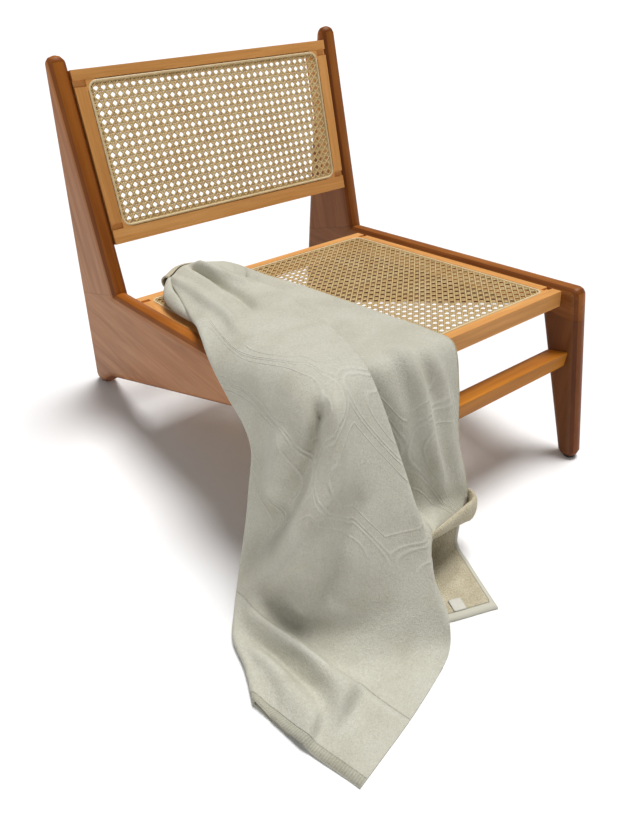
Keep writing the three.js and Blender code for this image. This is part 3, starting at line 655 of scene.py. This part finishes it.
def build_cloth():
    cloth = Cloth()
    stations = np.linspace(0, len(UPPER) - 1, (len(UPPER) - 1) * ROWS_BETWEEN + 1)
    corner = CORNER_ROW * ROWS_BETWEEN
    sections = [upper_section(row) for row in stations]
    ends = lengths_along(sections)
    widths = [lengths_across(s) for s in sections]
    panel_start = RETURN_STEPS + INNER_STEPS + 2 * TURN_STEPS
    ridge = panel_start + PANEL_STEPS
    upper = []
    for i, (section, across) in enumerate(zip(sections, widths)):
        from_end = ends[i]
        flat = np.column_stack([across - across[ridge], from_end])
        upper.append(cloth.add(section, flat, np.minimum(across, from_end)))
    cloth.strip(upper)

    columns = PANEL_STEPS + FOLD_STEPS_ACROSS + RIGHT_STEPS
    corner_edge = sections[corner][-1] + np.array(UNDER_CORNER)
    under_right = [corner_edge, *UNDER_RIGHT]
    under_rows = np.linspace(0, len(UNDER) - 1, (len(UNDER) - 1) * ROWS_BETWEEN + 1)
    under_sections = []
    for i, row in enumerate(under_rows):
        left, nose, mid = under_guides(row)
        if i <= corner:
            down = np.array([0, 0, -1.0])
            if i > 0:
                across = unit(sections[i][-1] - sections[i][-2])
                down = unit(np.cross(across, unit(sections[i + 1][-1] - sections[i - 1][-1])))
            right = sections[i][-1] + down * LAYER
        else:
            right = centripetal(under_right, (row - CORNER_ROW) / (len(UNDER) - 1 - CORNER_ROW))[0]
        under_sections.append(centripetal([right, mid, nose, left], np.linspace(0, 1, columns + 1)))
    under_ends = lengths_along(under_sections)
    under = []
    for i, section in enumerate(under_sections):
        across = lengths_across(section)
        free_right = across if i > corner else np.full(len(across), FAR_FROM_RIM)
        edge = np.minimum(np.minimum(across[-1] - across, free_right) / SIDE_HEM_SHARE, under_ends[i])
        flat = np.column_stack([across[-1] - across, under_ends[i]])
        under.append(cloth.add(section, flat, edge))
    cloth.strip(under)

    # Half a circle from each point of the upper edge, along the back and down the right, to the under edge
    points = np.concatenate(cloth.points)
    flats = np.concatenate(cloth.flat)
    top = upper[0][panel_start:] + [row[-1] for row in upper[1:corner + 1]]
    bottom = under[0][::-1] + [row[0] for row in under[1:corner + 1]]
    top_points, bottom_points = points[top], points[bottom]
    half = (top_points - bottom_points) / 2
    middle = (top_points + bottom_points) / 2
    run = np.empty_like(half)
    run[1:-1] = top_points[2:] - top_points[:-2]
    run[0], run[-1] = top_points[1] - top_points[0], top_points[-1] - top_points[-2]
    out = np.cross(half, run)
    out *= (norm(half, axis=1) / np.maximum(norm(out, axis=1), 1e-9))[:, None]
    lines = [top]
    for k in range(1, FOLD_STEPS):
        a = pi * k / FOLD_STEPS
        lines.append(cloth.add(middle + half * cos(a) + out * sin(a), flats[top],
                               np.full(len(top), FAR_FROM_RIM)))
    lines.append(bottom)
    for a_line, b_line in zip(lines, lines[1:]):
        for i in range(len(top) - 1):
            cloth.faces.append((a_line[i], a_line[i + 1], b_line[i + 1], b_line[i])[::-1])
    return cloth


VELOUR_SLOT, TERRY_SLOT, HEM_SLOT = 0, 1, 2


def thicken(cloth):
    """Closes the middle surface into a cloth with velour outside, terry inside and hems round its rim."""
    points = np.concatenate(cloth.points)
    faces = np.array(cloth.faces)
    a, b, c, d = (points[faces[:, i]] for i in range(4))
    face_normals = np.cross(c - a, d - b)
    normals = np.zeros_like(points)
    for i in range(4):
        np.add.at(normals, faces[:, i], face_normals)
    normals /= np.maximum(norm(normals, axis=1), 1e-9)[:, None]
    sides = [points + normals * CLOTH / 2, points - normals * CLOTH / 2]
    for side in sides:
        side[:, 2] = np.maximum(side[:, 2], 0)
    count = len(points)
    edges = dict.fromkeys((p, q) for face in cloth.faces for p, q in zip(face, face[1:] + face[:1]))
    rim = [(p, p + count, q + count, q) for p, q in edges if (q, p) not in edges]
    every = [tuple(f) for f in faces] + [tuple(x + count for x in f[::-1]) for f in faces] + rim
    slots = [VELOUR_SLOT] * len(faces) + [TERRY_SLOT] * len(faces) + [HEM_SLOT] * len(rim)
    return np.concatenate(sides), every, slots


def cloth_attributes(obj, flat, rim):
    """Each point's place on the flat cloth and its distance from the rim, in metres, for the materials."""
    attributes = obj.data.attributes
    flat = np.column_stack([flat, np.zeros(len(flat))]).astype(np.float32)
    attributes.new("flat", "FLOAT_VECTOR", "POINT").data.foreach_set("vector", flat.ravel())
    attributes.new("rim", "FLOAT", "POINT").data.foreach_set("value", rim.astype(np.float32))


# Widths and places on the flat cloth, in metres
HEM_WIDTH = 0.013
SIDE_HEM_SHARE = 0.45
RIB_PITCH = 0.0035
SEAM = 0.0012
BORDER = 0.106
BORDER_BEND = 0.77
BORDER_LINE = 0.0010
BORDER_EDGE_AT, BORDER_EDGE = 0.006, 0.005
# The sculpted design: the width and height of an ogee, and how far from the end hem it starts and stops
OGEE_WIDTH = 0.20
OGEE_HEIGHT = 0.24
DESIGN_FROM = 0.30
DESIGN_TO = 0.66
# Its carved lines: distance from the lattice, and half width
CARVED_LINES = ((0.005, 0.0040), (0.031, 0.0032))
# Whole waves added so that every place counts from above zero
WAVES_ADDED = 40.0


def flat_place(s):
    """The place on the flat cloth: across from the ridge, and along from the end hem."""
    flat = s.node("Attribute", {"attribute_name": "flat"}).outputs["Vector"]
    split = s.node("SeparateXYZ", Vector=flat)
    return split.outputs[0], split.outputs[1]


def rim_distance(s):
    return s.node("Attribute", {"attribute_name": "rim"}).outputs["Fac"]


def line_near(s, value, at, half_width):
    """1 on a line where value is at, falling to 0 at half_width from it."""
    away = s.math("ABSOLUTE", s.math("SUBTRACT", value, at))
    return s.math("SUBTRACT", 1.0, s.math("DIVIDE", away, half_width), True)


def ogee(s, across, along):
    """Distance, in metres, to the nearest line of an ogee lattice: two families of waves that touch."""
    swing = s.times(s.math("SINE", s.times(along, 2 * pi / OGEE_HEIGHT)), OGEE_WIDTH / 4)
    found = []
    for operation, shift in (("ADD", 0.5), ("SUBTRACT", 0.0)):
        wave = s.math("DIVIDE", s.math(operation, across, swing), OGEE_WIDTH)
        saw = s.math("FRACT", s.math("ADD", wave, WAVES_ADDED + shift))
        found.append(s.times(s.math("ABSOLUTE", s.math("SUBTRACT", saw, 0.5)), OGEE_WIDTH))
    return s.math("MINIMUM", *found)


def velour():
    s = Shader("velour")
    across, along = flat_place(s)
    rim = rim_distance(s)
    place = s.position()
    nap = s.noise(place, 620, 2, 0.6)
    tufts = s.noise(place, 260, 3, 0.6)
    patches = s.noise(place, 16, 3, 0.55, 0.4)
    tone = s.ramp(patches, [(0.3, srgb(194, 191, 177)), (0.55, srgb(202, 200, 187)),
                            (0.75, srgb(206, 204, 192))])
    speck = s.ramp(nap, [(0.28, (0.80, 0.79, 0.76)), (0.72, (1.06, 1.06, 1.05))])
    tone = s.shade(tone, speck, 0.75)
    speck = s.ramp(tufts, [(0.3, (0.9, 0.9, 0.88)), (0.7, (1.04, 1.04, 1.04))])
    tone = s.shade(tone, speck, 0.8)
    # Sculpted ogees, each with a smaller ogee inside it
    lattice = ogee(s, across, along)
    outer_line, inner_line = (line_near(s, lattice, at, half_width) for at, half_width in CARVED_LINES)
    carved = s.math("MAXIMUM", outer_line, inner_line)
    inside = s.times(s.math("GREATER_THAN", along, DESIGN_FROM),
                    s.math("LESS_THAN", along, DESIGN_TO))
    carved = s.times(carved, inside)
    # Border line and flat hems
    from_border = s.times(s.times(across, across), BORDER_BEND)
    from_border = s.math("SUBTRACT", along, from_border)
    border = line_near(s, from_border, BORDER, BORDER_LINE)
    below = line_near(s, from_border, BORDER - BORDER_EDGE_AT, BORDER_EDGE)
    ribs = s.math("SINE", s.times(across, 2 * pi / RIB_PITCH))
    hem = s.math("LESS_THAN", rim, HEM_WIDTH)
    seam = line_near(s, rim, HEM_WIDTH, SEAM)
    tone = s.mix(s.times(border, 0.3), tone, srgb(128, 126, 112))
    tone = s.mix(s.times(below, 0.2), tone, srgb(218, 217, 206))
    tone = s.mix(s.times(carved, 0.22), tone, srgb(222, 221, 210))
    # The hem is darker than the pile: its woven ribs, and a painted shade of the band's downward curve
    hem_ribs_and_shade = s.ramp(ribs, [(0.0, (0.74, 0.735, 0.70)), (0.6, (0.88, 0.875, 0.85))])
    tone = s.mix(hem, tone, s.shade(tone, hem_ribs_and_shade))
    tone = s.mix(s.times(seam, 0.3), tone, srgb(130, 127, 112))
    fuzz = s.times(s.math("SUBTRACT", 1.0, s.times(hem, 0.7)), nap)
    normal = s.bump(fuzz, 0.0007, 0.9)
    normal = s.bump(tufts, 0.0009, 0.8, normal)
    normal = s.bump(s.math("SUBTRACT", carved, s.math("ADD", border, seam)), 0.0014, 0.6, normal)
    s.set(Base_Color=tone, Roughness=0.95, Specular_IOR_Level=0.15, Normal=normal,
          Sheen_Weight=0.12, Sheen_Roughness=0.5, Sheen_Tint=(*srgb(235, 234, 224), 1))
    return s.material


def terry():
    s = Shader("terry")
    rim = rim_distance(s)
    place = s.position()
    loops = s.node("TexVoronoi", Vector=place, Scale=430.0).outputs["Distance"]
    patches = s.noise(place, 40, 3, 0.55)
    tone = s.ramp(patches, [(0.3, srgb(196, 186, 160)), (0.7, srgb(212, 204, 180))])
    dark = s.ramp(loops, [(0.0, (1.06, 1.06, 1.05)), (0.75, (0.78, 0.75, 0.69))])
    pile = s.math("GREATER_THAN", rim, HEM_WIDTH)
    tone = s.mix(s.times(pile, 0.9), tone, s.shade(tone, dark))
    tone = s.mix(s.math("SUBTRACT", 1.0, pile), tone, srgb(200, 197, 182))
    seam = line_near(s, rim, HEM_WIDTH, SEAM)
    tone = s.mix(s.times(seam, 0.5), tone, srgb(130, 124, 104))
    height = s.times(s.math("SUBTRACT", 1.0, loops), pile)
    s.set(Base_Color=tone, Roughness=0.96, Specular_IOR_Level=0.1, Sheen_Weight=0.2,
          Normal=s.bump(s.math("SUBTRACT", height, seam), 0.0012, 0.9))
    return s.material


def woven(name, colour, pitch):
    """A plain flat weave with a pitch in metres, for hems and the label."""
    s = Shader(name)
    split = s.node("SeparateXYZ", Vector=s.position((1 / pitch,) * 3))
    ribs = s.math("SINE", s.times(s.math("ADD", split.outputs[0], split.outputs[2]), 2 * pi))
    picks = s.math("SINE", s.times(split.outputs[1], 2 * pi))
    weave = s.times(ribs, picks)
    patches = s.noise(s.position(), 90, 3, 0.5)
    tone = s.ramp(patches, [(0.3, tuple(c * 0.92 for c in colour)), (0.7, colour)])
    dark = s.ramp(weave, [(0.0, (0.86, 0.86, 0.84)), (0.6, (1, 1, 1))])
    s.set(Base_Color=s.shade(tone, dark, 0.8), Roughness=0.85, Specular_IOR_Level=0.25,
          Normal=s.bump(weave, 0.0002, 0.6))
    return s.material


def make_towel(materials):
    cloth = build_cloth()
    vertices, faces, slots = thicken(cloth)
    obj = make_piece("towel_cloth", placed(vertices), faces, materials, slots)
    flat, rim = np.concatenate(cloth.flat) * MM, np.concatenate(cloth.rim) * MM
    cloth_attributes(obj, np.concatenate([flat, flat]), np.concatenate([rim, rim]))
    return obj


# Soft rolls of cloth: low edge, high edge and how far the roll bulges out between them.
# The cuff is the right border's corner turned up; the loop is where the folded border swells at the back.
CUFF = [
    ((118, -118, 102), (122, -117, 110), 0),
    ((150, -112, 92), (154, -112, 110), 4),
    ((185, -104, 82), (188, -105, 108), 7),
    ((218, -97, 70), (220, -98, 106), 9),
    ((240, -91, 60), (242, -92, 102), 9),
    ((252, -79, 62), (252, -79, 100), 6),
    ((256, -66, 70), (255, -66, 94), 2),
]
LOOP = [
    (seat(108, 506, 14), seat(110, 500, 42), 2),
    (seat(84, 490, 10), seat(88, 484, 40), 9),
    (seat(66, 466, 8), seat(76, 462, 36), 12),
    (seat(54, 435, 8), seat(66, 438, 33), 14),
    (seat(46, 400, 8), seat(57, 402, 29), 12),
    (seat(43, 368, 8), seat(47, 366, 24), 7),
    (seat(42, 344, 8), seat(42, 340, 17), 2),
]
ROLL_STEPS = 48
ROLL_RING = 16
# A place on the flat cloth and a distance from the rim that are clear of the design and the hems
ROLL_FLAT = (0.0, 0.9)
ROLL_RIM = 0.1


def make_roll(name, table, towards, material):
    """A soft roll of the towel's cloth along a table of edges, bulging towards a direction."""
    times = np.linspace(0, 1, ROLL_STEPS + 1)
    low, high = (centripetal([row[i] for row in table], times) for i in (0, 1))
    bulge = np.interp(times, np.linspace(0, 1, len(table)), [row[2] for row in table])
    middle = (low + high) / 2
    run = np.gradient(middle, axis=0)
    vertices = []
    for i in range(ROLL_STEPS + 1):
        half = (high[i] - low[i]) / 2
        out = unit(np.cross(unit(run[i]), unit(half)))
        if out @ np.array(towards) < 0:
            out = -out
        depth = (CLOTH + bulge[i]) / 2
        for k in range(ROLL_RING):
            a = 2 * pi * k / ROLL_RING
            vertices.append(middle[i] + half * cos(a) + out * (bulge[i] / 2 + depth * sin(a)))
    faces = tube_faces(0, ROLL_STEPS + 1, ROLL_RING)
    faces.append(tuple(range(ROLL_RING))[::-1])
    faces.append(tuple(ROLL_STEPS * ROLL_RING + k for k in range(ROLL_RING)))
    obj = make_piece(name, placed(vertices), faces, [material])
    count = len(vertices)
    cloth_attributes(obj, np.tile(ROLL_FLAT, (count, 1)), np.full(count, ROLL_RIM))
    return obj


# Label

LABEL_WIDTH, LABEL_LENGTH, LABEL_THICKNESS = 19, 21, 0.96
LABEL_AT, LABEL_TURN = (145, -168), 160
LABEL_GAP, LABEL_LIFT = 0.3, 0.5
LABEL_STEPS = 8


def make_label(material):
    """A small blank tab that lifts a little at its free end."""
    steps = LABEL_STEPS
    turn = radians(LABEL_TURN)
    vertices, faces = [], []
    low = CLOTH + LABEL_GAP
    for side in (0, 1):
        for i in range(steps + 1):
            for j in range(steps + 1):
                u, v = (i / steps - 0.5) * LABEL_WIDTH, (j / steps - 0.5) * LABEL_LENGTH
                lift = LABEL_LIFT * (1 - i / steps) ** 2 * sin(pi * j / steps)
                x = LABEL_AT[0] + u * cos(turn) - v * sin(turn)
                y = LABEL_AT[1] + u * sin(turn) + v * cos(turn)
                vertices.append((x, y, low + lift + side * LABEL_THICKNESS))
    n = steps + 1
    for side in (0, 1):
        base = side * n * n
        for i in range(steps):
            for j in range(steps):
                a, b = base + i * n + j, base + (i + 1) * n + j
                faces.append((a, b, b + 1, a + 1) if side else (a + 1, b + 1, b, a))
    ring = [(i, 0) for i in range(steps)] + [(steps, j) for j in range(steps)]
    ring += [(i, steps) for i in range(steps, 0, -1)] + [(0, j) for j in range(steps, 0, -1)]
    ids = [i * n + j for i, j in ring]
    for p, q in zip(ids, ids[1:] + ids[:1]):
        faces.append((p, q, q + n * n, p + n * n))
    obj = make_piece("label_tab", placed(vertices), faces, [material])
    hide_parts("label")
    return obj


# Woven cane

GAP = 0.3
BOARD = 32
CHAIR_WIDTH = 580
INNER_X = BOARD + GAP
INNER_WIDTH = CHAIR_WIDTH - 2 * BOARD - 2 * GAP
# Room between the frame's opening and the cane, and how much of it the corners' wood leaves
CANE_INSET, CORNER_ROOM = GAP + 0.5, 0.05
CANE_PITCH = 13.5
CANE_LEVEL = -1.9
# Half the distance between a pair's strands, and how far a strand weaves up and down
PAIR_HALF, WEAVE_HALF = 1.5, 0.35
# Width and thickness of the straight and the diagonal strands, and how low their sides lie
STRAIGHT, DIAGONAL, SIDE_DROP = (2.4, 0.7), (3.0, 0.6), 0.3
# Height of the diagonals over the straight strands, and half the distance between their two families
DIAGONAL_RISE, DIAGONAL_HALF = 0.55, 0.2
SPLINE_RADIUS, SPLINE_MARGIN, SPLINE_CORNER = 2.1, 0.4, 14
SPLINE_LEVEL, SPLINE_RISE, SPLINE_RING = -0.9, 1.4, 8
ARC_STEPS = 8
# The corners' wood: its low and high face, and the share of the spline's radius it reaches under
CORNER_LOW, CORNER_HIGH, CORNER_UNDER = -3.6, -0.15, 0.6
# Frame widths at the low end, the high end and the sides, the length, the front's Y and Z, and the turn
PANELS = {
    "seat": dict(low=18, high=19, side=16, length=509, at=(SEAT_Y, SEAT_Z), turn=-atan(SEAT_SLOPE)),
    "back": dict(low=24, high=16, side=21, length=278, at=(577, 330), turn=pi / 2 - atan(BACK_LEAN)),
}


def panel_frame(panel):
    """Maps a panel's own X across, Y along and Z out to the chair frame."""
    c, s = cos(panel["turn"]), sin(panel["turn"])
    y0, z0 = panel["at"]

    def to_chair(points):
        p = np.asarray(points, float)
        return np.column_stack([INNER_X + p[:, 0], y0 + p[:, 1] * c - p[:, 2] * s,
                                z0 + p[:, 1] * s + p[:, 2] * c])
    return to_chair


def strand(points, size, vertices, faces):
    """Adds a flat strand with a low crowned section along points that lie in the panel's plane."""
    width, thickness = size
    points = np.asarray(points, float)
    run = np.gradient(points, axis=0)
    run[:, 2] = 0
    run /= norm(run, axis=1)[:, None]
    side = np.column_stack([-run[:, 1], run[:, 0], np.zeros(len(run))]) * width / 2
    up = np.array([0, 0, thickness / 2])
    start = len(vertices)
    for p, e in zip(points, side):
        vertices.extend([p + e - up * SIDE_DROP, p + up, p - e - up * SIDE_DROP, p - up])
    faces.extend(tube_faces(start, len(points), 4))
    last = start + 4 * (len(points) - 1)
    faces.append((start + 3, start + 2, start + 1, start))
    faces.append((last, last + 1, last + 2, last + 3))


def make_weave(name, to_chair, area, material):
    """Cane woven six ways: pairs of strands along and across, and two families of diagonals over them."""
    x0, x1, y0, y1 = area
    nx = round((x1 - x0) / CANE_PITCH)
    ny = round((y1 - y0) / CANE_PITCH)
    px, py = (x1 - x0) / nx, (y1 - y0) / ny
    vertices, faces = [], []
    families = ((x0, px, nx, y0, y1, ny, WEAVE_HALF, (1, 0, 2)),
                (y0, py, ny, x0, x1, nx, -WEAVE_HALF, (0, 1, 2)))
    for first, pitch, count, low, high, crossings, wave, order in families:
        for centre in first + (np.arange(count) + 0.5) * pitch:
            for k, off in enumerate((-PAIR_HALF, PAIR_HALF)):
                t = np.linspace(low, high, 2 * crossings + 1)
                z = CANE_LEVEL + wave * (-1) ** (np.arange(len(t)) + k)
                line = np.column_stack([t, np.full(len(t), centre + off), z])
                strand(line[:, order], STRAIGHT, vertices, faces)
    for sign in (1, -1):
        for k in range(-ny - 1, nx + ny + 1):
            line = []
            for j in np.arange(-1, 2 * ny + 2) / 2:
                x = x0 + (k + 0.5 + sign * j) * px
                y = y0 + j * py
                if x0 <= x <= x1 and y0 <= y <= y1:
                    line.append((x, y, CANE_LEVEL + DIAGONAL_RISE + DIAGONAL_HALF * sign))
            if len(line) > 1:
                strand(line, DIAGONAL, vertices, faces)
    woven_cane = make_piece(name + "_weave", placed(to_chair(vertices)), faces, [material])
    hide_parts(name + "_cane")


def arc(x, y, radius, first):
    """Points on a quarter of a circle from an angle in degrees."""
    angles = [radians(first + 90 * i / ARC_STEPS) for i in range(ARC_STEPS + 1)]
    return [(x + radius * cos(a), y + radius * sin(a)) for a in angles]


def make_spline(name, to_chair, corners, material):
    """The strip that holds the cane in its groove, round in section, with rounded corners."""
    path = np.array([point for x, y, first in corners for point in arc(x, y, SPLINE_CORNER, first)])
    ahead = np.roll(path, -1, 0) - np.roll(path, 1, 0)
    ahead /= norm(ahead, axis=1)[:, None]
    out = np.column_stack([ahead[:, 1], -ahead[:, 0]])
    vertices, faces = [], []
    for p, o in zip(path, out):
        for k in range(SPLINE_RING):
            a = 2 * pi * k / SPLINE_RING
            q = p + o * SPLINE_RADIUS * cos(a)
            vertices.append((q[0], q[1], SPLINE_LEVEL + SPLINE_RISE * sin(a)))
    for i in range(len(path)):
        a, b = i * SPLINE_RING, (i + 1) % len(path) * SPLINE_RING
        for k in range(SPLINE_RING):
            n = (k + 1) % SPLINE_RING
            faces.append((a + k, b + k, b + n, a + n))
    spline = make_piece(name + "_spline", placed(to_chair(vertices)), faces, [material])


def make_corners(name, to_chair, area, corners, material):
    """Wood outside the spline's rounded corners, flush with the frame."""
    x0, x1, y0, y1 = area
    vertices, faces = [], []
    for (cx, cy, first), (ex, ey) in zip(corners, [(x1, y1), (x0, y1), (x0, y0), (x1, y0)]):
        ex += copysign(CANE_INSET - CORNER_ROOM, ex - cx)
        ey += copysign(CANE_INSET - CORNER_ROOM, ey - cy)
        curve = arc(cx, cy, SPLINE_CORNER + SPLINE_RADIUS * CORNER_UNDER, first)
        base = len(vertices)
        first_side = (ex, curve[0][1]) if first in (0, 180) else (curve[0][0], ey)
        last_side = (curve[-1][0], ey) if first in (0, 180) else (ex, curve[-1][1])
        outline = curve + [last_side, (ex, ey), first_side]
        for z in (CORNER_LOW, CORNER_HIGH):
            vertices.extend((x, y, z) for x, y in outline)
        n = len(outline)
        faces.append(tuple(base + n + i for i in range(n)))
        faces.append(tuple(base + n - 1 - i for i in range(n)))
        for i in range(n):
            j = (i + 1) % n
            faces.append((base + i, base + j, base + n + j, base + n + i))
    fill = make_piece(name + "_corners", placed(to_chair(vertices)), faces, [material], smooth=False)


def make_cane(name, panel, cane, spline_material, filler):
    to_chair = panel_frame(panel)
    x0, x1 = panel["side"] + CANE_INSET, INNER_WIDTH - panel["side"] - CANE_INSET
    y0, y1 = panel["low"] + CANE_INSET, panel["length"] - panel["high"] - CANE_INSET
    area = (x0, x1, y0, y1)
    make_weave(name, to_chair, area, cane)
    # Centres of the spline's corner arcs, and the angle where each starts
    r = SPLINE_CORNER
    e = SPLINE_RADIUS + SPLINE_MARGIN
    corners = [(x1 - e - r, y1 - e - r, 0), (x0 + e + r, y1 - e - r, 90), (x0 + e + r, y0 + e + r, 180),
               (x1 - e - r, y0 + e + r, 270)]
    make_spline(name, to_chair, corners, spline_material)
    make_corners(name, to_chair, area, corners, filler)


def cane_material():
    s = Shader("cane")
    streak = s.noise(s.position((40, 40, 40)), 6, 3, 0.6)
    patches = s.noise(s.position(), 30, 3, 0.5)
    tone = s.ramp(patches, [(0.25, srgb(206, 172, 114)), (0.5, srgb(216, 186, 130)),
                            (0.75, srgb(224, 198, 146))])
    dark = s.ramp(streak, [(0.3, (0.88, 0.85, 0.80)), (0.6, (1, 1, 1))])
    s.set(Base_Color=s.shade(tone, dark, 0.6), Roughness=0.42, Specular_IOR_Level=0.5,
          Normal=s.bump(streak, 0.0002, 0.5))
    return s.material


def spline_strip():
    s = Shader("spline")
    streak = s.noise(s.position((12, 12, 12)), 9, 3, 0.6)
    tone = s.ramp(streak, [(0.3, srgb(216, 192, 144)), (0.65, srgb(230, 208, 166))])
    s.set(Base_Color=tone, Roughness=0.38, Normal=s.bump(streak, 0.0002, 0.4))
    return s.material


def glide_material():
    s = Shader("glide")
    speck = s.noise(s.position(), 300, 2, 0.5)
    tone = s.ramp(speck, [(0.3, (0.012, 0.011, 0.010)), (0.7, (0.022, 0.020, 0.018))])
    s.set(Base_Color=tone, Roughness=0.6, Normal=s.bump(speck, 0.0001, 0.3))
    return s.material


def floor_material():
    s = Shader("floor")
    cloud = s.noise(s.position(), 0.8, 2, 0.5)
    tone = s.ramp(cloud, [(0.3, (0.93, 0.93, 0.93)), (0.7, (0.95, 0.95, 0.95))])
    s.set(Base_Color=tone, Roughness=0.9, Specular_IOR_Level=0.1)
    return s.material


# Put together

make_camera()
make_floor(floor_material())
make_world()
make_sun("key", (-0.24, -0.06, -1.0), strength=3.05, softness=24)
make_sun("fill", (1.0, 0.30, -0.45), strength=0.4, softness=40)
bpy.context.scene.view_settings.view_transform = "Standard"

woods = {}
for finish, names in WOOD_NODES.items():
    woods[finish] = wood(*finish)
    for name in names:
        dress(name, woods[finish])
glide = glide_material()
for name in ("glide_front_near", "glide_front_far", "glide_rear_near", "glide_rear_far"):
    dress(name, glide)

cane = cane_material()
spline_finish = spline_strip()
for name, panel in PANELS.items():
    make_cane(name, panel, cane, spline_finish, woods["across", "panel"])

velour_finish, terry_finish = velour(), terry()
towel = make_towel([velour_finish, terry_finish, woven("hem", srgb(205, 202, 186), 0.0012)])
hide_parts("towel")
cuff = make_roll("towel_cuff", CUFF, (0, -1, 0), terry_finish)
loop = make_roll("towel_loop", LOOP, (-1, 0, 0), velour_finish)
label = make_label(woven("label", srgb(232, 229, 218), 0.0008))
